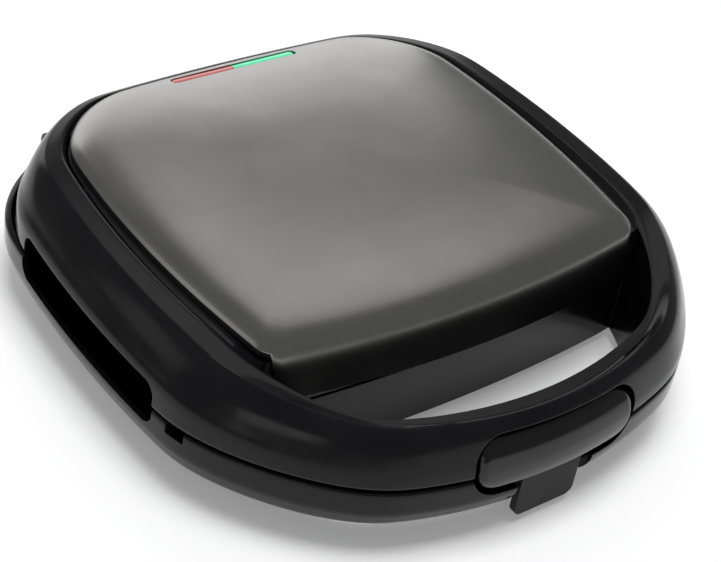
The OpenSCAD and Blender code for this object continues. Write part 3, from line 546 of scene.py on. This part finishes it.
def arc_body(profile, steps=96):
    half = math.radians(16)
    rings = []
    for a in np.linspace(-half, half, steps + 1):
        r = ARC_R - np.array([p[0] for p in profile], float)
        z = np.array([p[1] for p in profile], float)
        rings.append(np.c_[r * math.sin(a), FRONT_Y + ARC_R - r * math.cos(a), z])
    return loft("arc", rings)


def recalc(obj, merge=0.0):
    """Turns every face outwards, whichever way its rings ran, and joins points that meet."""
    bm = bmesh.new()
    bm.from_mesh(obj.data)
    if merge:
        bmesh.ops.remove_doubles(bm, verts=bm.verts, dist=merge * MM)
    bmesh.ops.recalc_face_normals(bm, faces=bm.faces)
    bm.to_mesh(obj.data)
    bm.free()
    return obj


def lid_recess():
    cutter = recalc(arc_body([
        [-20, PARTING_Z - 2], [PAD_T + 3.2, PARTING_Z - 2], [PAD_T + 3.2, PAD_TOP_Z - 9],
        [PAD_T + 9.4, PAD_TOP_Z - 3], [PAD_T + 9.4, PAD_TOP_Z + 9], [-20, PAD_TOP_Z + 9],
    ]))
    boolean(cutter, recalc(pad_window(PAD_CLEAR)), "INTERSECT")
    slot = box("slot", (-TAB_W / 2 - TAB_GAP, FRONT_Y - 20, LID_Z - 2),
               (TAB_W / 2 + TAB_GAP, PIVOT_Y + 4.4, PAD_TOP_Z + 0.1))
    return boolean(cutter, slot, "UNION")


def base_recess():
    cutter = recalc(arc_body([[-20, -2], [RECESS_IN, -2], [RECESS_IN, PARTING_Z + 2], [-20, PARTING_Z + 2]]))
    area = recalc(pad_window(PAD_CLEAR))
    boolean(area, box("tab", (-TAB_W / 2 - 6, FRONT_Y - 20, -5),
                      (TAB_W / 2 + 6, FRONT_Y + 20, PARTING_Z)), "UNION")
    return boolean(cutter, area, "INTERSECT")


COOK_HALF_W = CHAMBER_HALF_W - CHAMBER_WALL - 3.8
COOK_Y0 = CHAMBER_YF + CHAMBER_WALL + 0.6
COOK_Y1 = CHAMBER_YR - CHAMBER_WALL - 19
COOK_YC = (COOK_Y0 + COOK_Y1) / 2
POSTS = [(x * (COOK_HALF_W - 3.6), y) for x in (-1, 1) for y in (COOK_Y0 + 18, COOK_Y1 - 18)]
POST_R = 3.2
MID_Z = (PARTING_Z + LID_Z) / 2
FRAME_TOP = MID_Z - 0.25 - 2.5 - 0.05
FRAME_LOW = FRAME_TOP - 1.2
UPPER_FRAME_TOP = 2 * MID_Z - FRAME_LOW
LENS_X, LENS_W, LENS_D = -3, 64, 5
LENS_Y = PLATE_YR - 10


def lens_prism(name, grow, z0, z1):
    ring = rounded_rect(LENS_W + 2 * grow, LENS_D + 2 * grow, LENS_D / 2 - 0.3 + grow) + [LENS_X, LENS_Y]
    return slab(name, ring, z0, z1)


def lid_housing():
    lid = lid_form("lid_housing_skin", 0, LID_Z, DECK_Z)
    cavity = lid_form("cavity", WALL, LID_Z - 6, DECK_LOW, 4)
    keep = [hand_cutter("h", 0, 200, WALL, CHAMBER_WALL), latch_backing(0, 200),
            chamber_band(LID_Z - 1, DECK_Z)]
    keep += [rod("post", (x, y, UPPER_FRAME_TOP), DECK_Z - UPPER_FRAME_TOP, POST_R) for x, y in POSTS]
    boolean(cavity, keep)
    cheeks = [rod("cheek", (side * HINGE_X + off - CHEEK_GAP, HINGE_Y, HINGE_Z), CHEEK_T + 2 * CHEEK_GAP,
                  KNUCKLE_R + 1, "x") for side in (-1, 1)
              for off in (-KNUCKLE_W / 2 - CHEEK_GAP - CHEEK_T, KNUCKLE_W / 2 + CHEEK_GAP)]
    boolean(lid, [cavity] + cheeks)
    for side in (-1, 1):
        knuckle = rod("k", (side * HINGE_X - KNUCKLE_W / 2, HINGE_Y, HINGE_Z), KNUCKLE_W, KNUCKLE_R, "x")
        arm = box("arm", (side * HINGE_X - KNUCKLE_W / 2, LID_REAR_Y - 5, HINGE_Z - 1),
                  (side * HINGE_X + KNUCKLE_W / 2, HINGE_Y, HINGE_Z + KNUCKLE_R - 1))
        boolean(lid, [knuckle, arm], "UNION")
        bore_at = (side * HINGE_X - KNUCKLE_W, HINGE_Y, HINGE_Z)
        boolean(lid, rod("bore", bore_at, 2 * KNUCKLE_W, HINGE_BORE_R, "x"))
    cutters = [hand_cutter("hand", 0, 200)]
    cutters += both(lambda side: window_cutter(side, 0, WINDOW_TOP_Z))
    cutters += [lid_recess(), lens_prism("lens", 0.4, DECK_LOW - 4, DECK_Z + 9)]
    cutters += [rod("pin", (-TAB_W / 2 - 6.5, PIVOT_Y, PIVOT_Z), TAB_W + 13, LATCH_PIN_R + 0.02, "x", 32)]
    boolean(lid, cutters)
    return finish_mesh(lid)


dress(lid_housing(), "black_housing", "lid", "lid_housing")

# ---- base housing ------------------------------------------------------------


def base_form(name, d, bottom_z, top_z, per_step=5):
    b = LOOP_BOTTOM_Z
    keys = [
        [27, 27, 14, bottom_z],
        [16, 17, 8, FLOOR_Z + 1 + d],
        [8.5, 9.5, 4.6, b + 0.4 + d * 0.9],
        [3.6, 4.4, 2.2, b + 4.4 + d * 0.6],
        [1.2, 1.5, 0.8, b + 9 + d * 0.3],
        [0, 0, 0, b + 14],
        [0, 0, 0, PARTING_Z - 1.4],
    ]
    rows = smooth_steps(keys, per_step)
    rings = [flat(skirt(p[0] + d, p[1] + d, p[2] + d), p[3]) for p in rows]
    for off, z in ((0.15, -0.8), (0.45, -0.3), (0.95, 0.0)):
        rings.append(flat(skirt(off + d, off + d, off + d), (PARTING_Z if not d else top_z) + z))
    return loft(name, rings)


def base_hollow():
    split_y, ledge_y = WINDOW_Y0 - 4, LID_REAR_Y - 3

    def posts():
        return [rod("post", (x, y, 0), FRAME_LOW, POST_R) for x, y in POSTS]

    sides = base_form("sides", WALL, FLOOR_Z + WALL, PARTING_Z + 6)
    area = box("a", (-FAR, split_y, 0), (FAR, ledge_y, FAR))
    boolean(area, box("a2", (-FAR, split_y, 0), (FAR, FAR, PARTING_Z - WALL)), "UNION")
    boolean(sides, area, "INTERSECT")
    boolean(sides, [chamber_band(0, PARTING_Z + 7)] + posts())
    middle = slab("middle", chamber(CHAMBER_WALL), FLOOR_Z + WALL, FAR)
    boolean(middle, posts())
    front = base_form("front", WALL, FLOOR_Z - 8, PARTING_Z - WALL)
    boolean(front, box("f", (-FAR, -FAR, -FAR), (FAR, split_y - WALL, FAR)), "INTERSECT")
    boolean(front, [hand_cutter("hc", -50, 80, WALL, CHAMBER_WALL), slab("ch", chamber(-1), -50, 80),
                    latch_backing(-50, 80)])
    return [sides, middle, front]


def base_housing():
    base = base_form("base_housing_skin", 0, FLOOR_Z, PARTING_Z)
    boolean(base, base_hollow())
    for side in (-1, 1):
        for off in (-KNUCKLE_W / 2 - CHEEK_GAP - CHEEK_T, KNUCKLE_W / 2 + CHEEK_GAP):
            x = side * HINGE_X + off
            boolean(base, [
                rod("cheek", (x, HINGE_Y, HINGE_Z), CHEEK_T, KNUCKLE_R, "x"),
                box("cb", (x, HINGE_Y - KNUCKLE_R, PARTING_Z - 10),
                    (x + CHEEK_T, HINGE_Y + KNUCKLE_R - 1, HINGE_Z)),
            ], "UNION")
    span = KNUCKLE_W / 2 + CHEEK_GAP
    cutters = [hand_cutter("hand", -50, 80)]
    cutters += both(lambda side: box("gap", (side * HINGE_X - span, LID_REAR_Y - 8, HINGE_Z - KNUCKLE_R - 1),
                                     (side * HINGE_X + span, FAR, FAR)))
    cutters += both(lambda side: window_cutter(side, PARTING_Z + 20, WINDOW_LOW_Z))
    cutters += both(lambda side: box(
        "notch", (min(side * (CHAMBER_HALF_W - 4), side * FAR), NOTCH_Y1 - NOTCH_W, PARTING_Z - NOTCH_H),
        (max(side * (CHAMBER_HALF_W - 4), side * FAR), NOTCH_Y1, FAR)))
    cutters += [base_recess()]
    cutters += [rod("gland", (34, REAR_Y - 14, 20), 21, 5.5, "y")]
    vents = [slab("vent", rounded_rect(4, 40, 1.9) + [12 * i, COOK_YC + y], FLOOR_Z - 1, FLOOR_Z + WALL + 1)
             for i in range(-4, 5) for y in (-34, 34)]
    boolean(base, [recalc(c) for c in cutters] + vents)
    return finish_mesh(base)


dress(base_housing(), "black_housing", "base", "base_housing", "latch_seat")

# ---- lid plate ---------------------------------------------------------------


def plate_ring(d=0.0, front=0.0):
    return outline(PLATE_HALF_W - d, PLATE_YF - PLATE_BOW + d + front, PLATE_YR - d,
                   7 + d / 6, max(8, 36 - d / 3), PLATE_SIDE_BOW, PLATE_BOW, PLATE_REAR_BOW)


def lid_plate():
    """Sheet with a crowned top, a rolled edge and a front that folds down over the chamber."""
    rise = DOME_Z - PLATE_EDGE_Z
    edge = plate_ring()
    centre = np.array([0, (PLATE_YF + PLATE_YR) / 2 + 4])
    rings = []
    # Height over the edge against the distance from it; shrinking the outline keeps the crown smooth.
    keys = [[0, 0.0], [1.2, 0.14], [3.5, 0.31], [8, 0.47], [16, 0.62],
            [30, 0.79], [48, 0.915], [68, 0.98], [91, 1.0]]
    rows = smooth_steps(keys, 6)
    reach = keys[-1][0]
    for d, h in rows:
        k = 1 - d / reach
        ring = centre + (edge - centre) * k if d < reach else np.repeat([centre], len(edge), 0)
        rings.append(flat(ring, PLATE_EDGE_Z + rise * h))
    front = edge[:, 1] < PLATE_YF + 1.2
    walls = []
    for step in np.linspace(1, 0, 10):
        z = np.where(front, APRON_Z + (PLATE_EDGE_Z - APRON_Z) * (1 - step),
                     DECK_Z + 0.3 + 2.3 * (1 - step))
        lean = np.where(front, -APRON_LEAN * step ** 0.8, 0)
        walls.append(np.c_[edge[:, 0], edge[:, 1] + lean, z])
    rings = walls[:-1] + rings
    points = np.vstack(rings)
    n, m = len(edge), len(rings)
    faces = [(j * n + i, j * n + (i + 1) % n, (j + 1) * n + (i + 1) % n, (j + 1) * n + i)
             for j in range(m - 1) for i in range(n)]
    plate = mesh_object("lid_plate_sheet", points, faces)
    recalc(plate, merge=0.004)
    thick = plate.modifiers.new("sheet", "SOLIDIFY")
    thick.thickness, thick.offset = SHEET_T * MM, -1
    plate.data = bpy.data.meshes.new_from_object(plate.evaluated_get(bpy.context.evaluated_depsgraph_get()))
    plate.modifiers.clear()
    form = copy_of(plate)
    boolean(plate, lens_prism("slot", 0.3, DECK_Z, DOME_Z + 1), solver="EXACT")
    return normals_from(finish_mesh(plate, angle=40), form)


dress(lid_plate(), "lid_metal", "lid", "lid_plate")

# ---- lenses ------------------------------------------------------------------


def lens(name, side):
    z0, z1 = DECK_Z - 1.6, PLATE_EDGE_Z + 5.2
    rings = [flat(rounded_rect(LENS_W - 2 * e, LENS_D - 2 * e, LENS_D / 2 - 0.3 - e) + [LENS_X, LENS_Y], z)
             for e, z in ((0, z0), (0, z1 - 0.9), (0.12, z1 - 0.45), (0.45, z1 - 0.12), (0.95, z1))]
    strip = loft(name, rings)
    seam = 0.05
    cut = box("half", (LENS_X + seam if side < 0 else -FAR, -FAR, 0),
              (FAR if side < 0 else LENS_X - seam, FAR, FAR))
    return boolean(strip, cut)


dress(finish_mesh(lens("red_lens_cap", -1), bevel=0.15), "red_lens", "lid", "red_lens")
dress(finish_mesh(lens("green_lens_cap", 1), bevel=0.15), "green_lens", "lid", "green_lens")

# ---- latch -------------------------------------------------------------------

PAD_FACE = [
    [1.6, PAD_LOW_Z - 1], [-0.6, PAD_LOW_Z + 2.5], [-1.2, PAD_LOW_Z + 7], [-1.0, PARTING_Z + 5],
    [0.4, PAD_TOP_Z - 7], [2.4, PAD_TOP_Z - 3.6], [4.6, PAD_TOP_Z - 1.3], [7.6, PAD_TOP_Z + 0.8],
]


def pad_inset(z):
    """Inset of the pad's face at height z, averaged over a short stretch so that it has no kinks."""
    rows = np.array(PAD_FACE)
    spread = np.linspace(-3, 3, 25)
    weight = np.cos(spread / 3 * math.pi / 2) ** 2
    return sum(w * np.interp(z + d, rows[:, 1], rows[:, 0]) for d, w in zip(spread, weight)) / weight.sum()


def latch_pad():
    """Pillow-like cover: rings shrink from its outline to a line through its middle."""
    ring = rounded_rect(PAD_W, PAD_H, PAD_R, 24)
    ring = np.vstack([np.linspace(a, b, 8, endpoint=False) if np.linalg.norm(b - a) > 3 else a[None]
                      for a, b in zip(ring, np.roll(ring, -1, 0))])
    spine = np.c_[np.clip(ring[:, 0], -(PAD_W - PAD_H) / 2, (PAD_W - PAD_H) / 2), np.zeros(len(ring))]
    mid_z = (PAD_TOP_Z + PAD_LOW_Z) / 2
    r_edge = 2.6

    def surface(flatness, inset):
        p = spine + (ring - spine) * (1 - flatness)
        z = p[:, 1] + mid_z
        depth = pad_inset(z) + inset
        radius = ARC_R - depth
        return np.c_[p[:, 0], FRONT_Y + ARC_R - np.sqrt(radius ** 2 - p[:, 0] ** 2), z]

    rings = [surface(1, PAD_T), surface(0.5, PAD_T), surface(0.02, PAD_T)]
    half_h = PAD_H / 2
    for q in np.linspace(0, 90, 9):
        e = r_edge * (1 - math.cos(math.radians(q)))
        rings.append(surface(e / half_h, r_edge * (1 - math.sin(math.radians(q)))))
    rings += [surface(f, 0) for f in np.linspace(r_edge / half_h + 0.05, 1, 12)]
    return recalc(loft("latch_pad_cover", rings, closed=False), merge=0.001)


dress(finish_mesh(latch_pad(), angle=60), "black_pad", "latch", "latch_pad")


def latch_lever():
    y0, y1 = FRONT_Y + PAD_T - 0.6, FRONT_Y + PAD_T + 2.6
    q = np.linspace(0, math.pi / 2, 9)
    r = 4.0
    side = TAB_SHOWN_W / 2
    corner = np.c_[side - r + r * np.sin(q), NIB_LOW_Z + r - r * np.cos(q)]
    half = np.vstack([corner, [[side, PAD_LOW_Z + 1], [TAB_W / 2, PAD_LOW_Z + 3], [TAB_W / 2, PIVOT_Z - 9]]])
    ring = np.vstack([half, half[::-1] * [-1, 1]])
    tab = recalc(place(slab("latch_lever_tab", ring * [1, -1], 0, y1 - y0), (0, y0, 0), "y"))
    nib = box("nib", (-TAB_W / 2 + 4, y0 + 0.6, NIB_LOW_Z + 0.2),
              (TAB_W / 2 - 4, FRONT_Y + RECESS_IN - 2, NIB_LOW_Z + 2.4))
    arm = box("arm", (-TAB_W / 2, y0 + 1.5, PIVOT_Z - 8), (TAB_W / 2, PIVOT_Y + 1, PIVOT_Z))
    hub = rod("hub", (-TAB_W / 2, PIVOT_Y, PIVOT_Z), TAB_W, 3.4, "x")
    boolean(tab, [nib, arm, hub], "UNION")
    return boolean(tab, rod("bore", (-TAB_W, PIVOT_Y, PIVOT_Z), 2 * TAB_W, LATCH_PIN_R + 0.05, "x", 32))


dress(finish_mesh(latch_lever(), bevel=0.4), "matt_black", "latch", "latch_lever")

# ---- the other solids keep their shapes and get their finish ------------------

REPLACED = {"lid_housing", "base_housing", "lid_plate", "red_lens", "green_lens", "latch_pad", "latch_lever"}
slots = {s["node"]: s["material_slot"] for s in frame["record"]["subparts"]}
for name, obj in frame["nodes"].items():
    if name in REPLACED:
        continue
    for i in range(max(1, len(obj.material_slots))):
        if not obj.material_slots:
            obj.data.materials.append(MATERIALS[slots[name]])
        obj.material_slots[i].material = MATERIALS[slots[name]]
    weld = obj.modifiers.new("weld", "WELD")
    weld.merge_threshold = 1e-5
    edge = obj.modifiers.new("edge", "BEVEL")
    edge.width, edge.segments = 0.25 * MM, 2
    edge.limit_method, edge.angle_limit = "ANGLE", math.radians(40)
    normals = obj.modifiers.new("normals", "WEIGHTED_NORMAL")
    normals.keep_sharp = True

# ---- floor and light -----------------------------------------------------------


FLOOR_GLOW = 0.22


def floor():
    size = 2500
    corners = [[-size, -size, 0], [size, -size, 0], [size, size, 0], [-size, size, 0]]
    ground = mesh_object("floor", corners, [(0, 1, 2, 3)])
    s = Shader("floor", Roughness=0.9)
    s.p.inputs["Specular IOR Level"].default_value = 0.1
    s.colour(s.noise(3, 2), (0.86, 0.86, 0.865), (0.88, 0.88, 0.885))
    # Where it is seen or mirrored it is a little lighter, so that the backdrop comes out white.
    s.p.inputs["Emission Color"].default_value = (1, 1, 1, 1)
    rays = s.tree.nodes.new("ShaderNodeLightPath")
    seen = rays.outputs["Is Camera Ray"]
    for kind in ("Is Glossy Ray", "Is Transmission Ray"):
        either = s.tree.nodes.new("ShaderNodeMath")
        either.operation = "MAXIMUM"
        s.tree.links.new(seen, either.inputs[0])
        s.tree.links.new(rays.outputs[kind], either.inputs[1])
        seen = either.outputs["Value"]
    s.tree.links.new(s.spread(seen, 0, FLOOR_GLOW, 0, 1), s.p.inputs["Emission Strength"])
    ground.data.materials.append(s.mat)


def softbox(name, azimuth, elevation, distance, width, height, power, mirrored=True):
    """Area light that faces the object; azimuth 0 is behind it and grows towards +X."""
    a, e = math.radians(azimuth), math.radians(elevation)
    at = Vector((math.sin(a) * math.cos(e), math.cos(a) * math.cos(e), math.sin(e))) * distance
    data = bpy.data.lights.new(name, "AREA")
    data.shape, data.size, data.size_y = "RECTANGLE", width, height
    data.energy = power
    lamp = bpy.data.objects.new(name, data)
    lamp.rotation_euler = at.to_track_quat("Z", "Y").to_euler()
    lamp.location = at + Vector((0, 0, 0.04))
    lamp.visible_glossy = mirrored
    bpy.context.scene.collection.objects.link(lamp)


def light():
    floor()
    world = bpy.data.worlds.new("world")
    world.use_nodes = True
    world.node_tree.nodes["Background"].inputs["Color"].default_value = (1, 1, 1, 1)
    world.node_tree.nodes["Background"].inputs["Strength"].default_value = 0.22
    bpy.context.scene.world = world
    softbox("key", 200, 84, 1.7, 0.8, 0.8, 21, mirrored=False)
    softbox("backdrop", 16, 14, 2.3, 2.5, 1.4, 15)
    softbox("window", 38, 54, 1.8, 1.2, 0.7, 2.2)
    softbox("left_strip", -60, 20, 1.8, 0.6, 0.6, 0.7)
    softbox("front_left", -120, 12, 1.5, 0.6, 0.3, 0.8)


light()
scene = bpy.context.scene
scene.view_settings.view_transform = "Standard"
